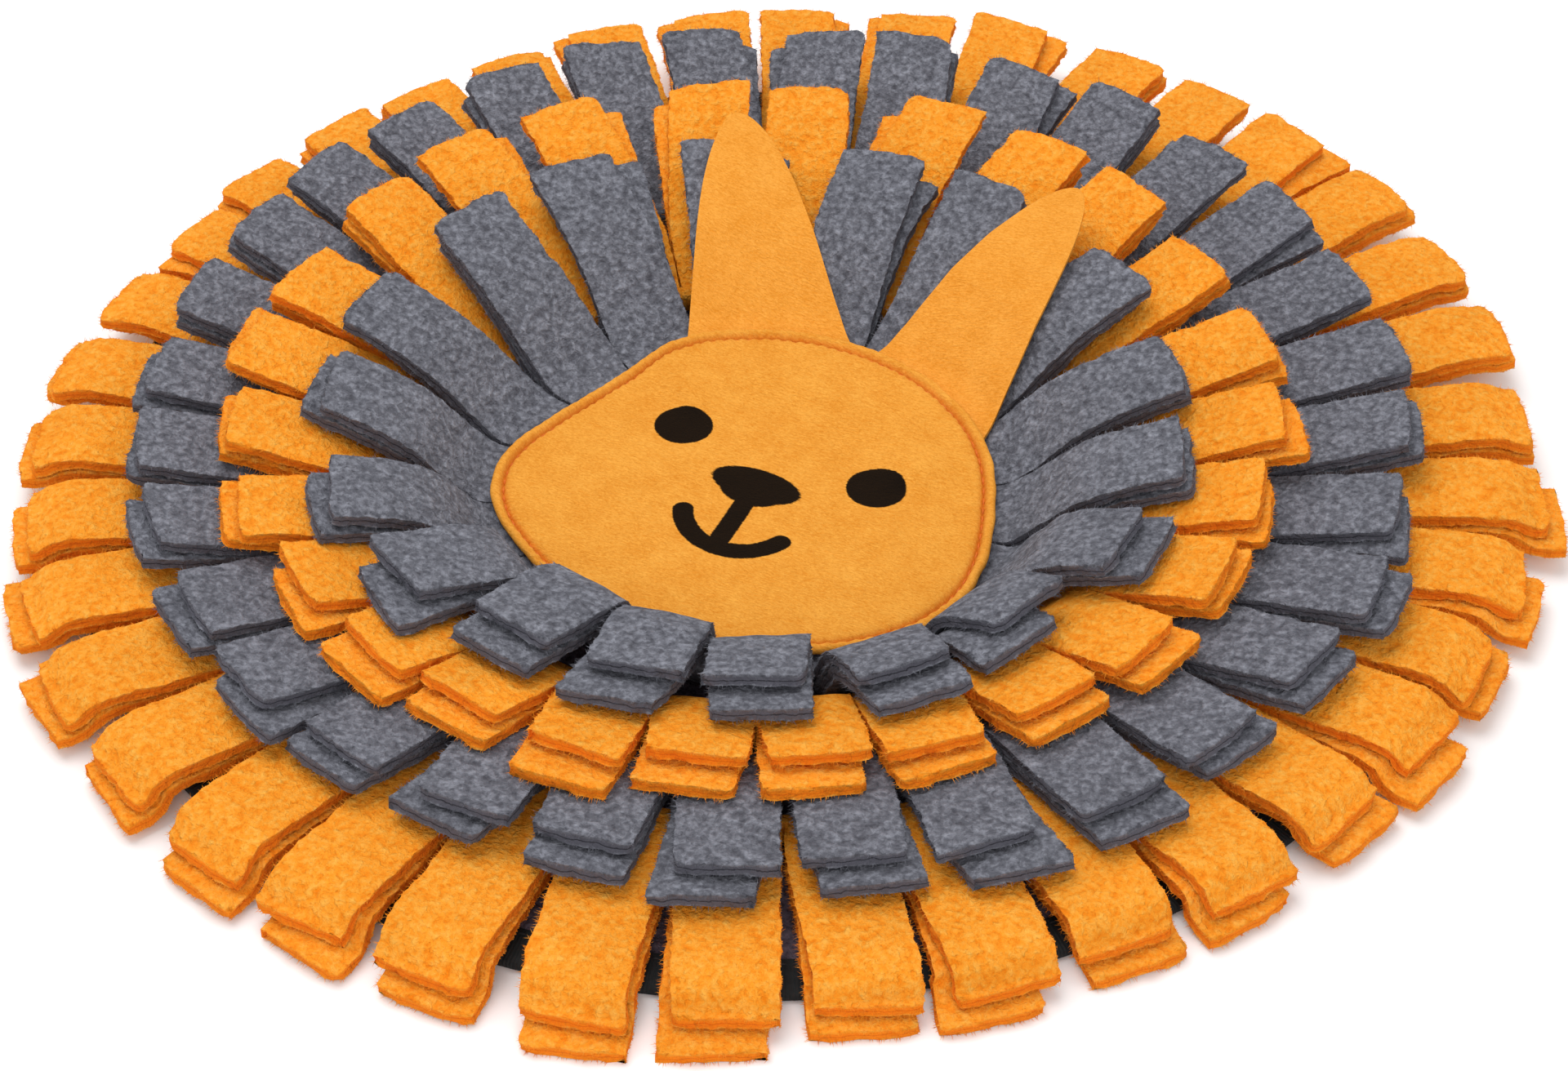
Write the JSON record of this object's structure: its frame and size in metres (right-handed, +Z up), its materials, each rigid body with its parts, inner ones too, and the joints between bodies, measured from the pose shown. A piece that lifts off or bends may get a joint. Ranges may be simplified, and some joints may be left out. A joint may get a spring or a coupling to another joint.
{
  "type": "snuffle mat",
  "caption": "Round snuffle mat for a dog, lying flat: a fleece disc with a taped edge, covered in rings of fleece strips round a felt rabbit head with two ears.",
  "frame": {"origin": "on the surface that the mat lies on, under the middle of the round base disc", "axes": "+Z up, out of the face of the mat; +Y towards the brow of the rabbit head, between its ears; +X towards the side of the head's ear_right"},
  "size_m": [0.5028, 0.5275, 0.0534],
  "materials": {
    "base_fleece": "matte grey fleece",
    "tape": "matte woven black binding tape",
    "orange_fleece": "matte brushed orange fleece with a short pebbly pile",
    "grey_fleece": "matte brushed grey fleece with a short pebbly pile",
    "orange_felt": "matte smooth orange felt"
  },
  "bodies": {
    "root": {"base_disc": "base_fleece", "edge_tape": "tape", "fringe_ring_1_orange": "orange_fleece", "fringe_ring_2_grey": "grey_fleece", "fringe_ring_3_orange": "orange_fleece", "fringe_ring_4_grey": "grey_fleece", "head": "orange_felt", "ear_left": "orange_felt", "ear_right": "orange_felt"}
  },
  "joints": []
}
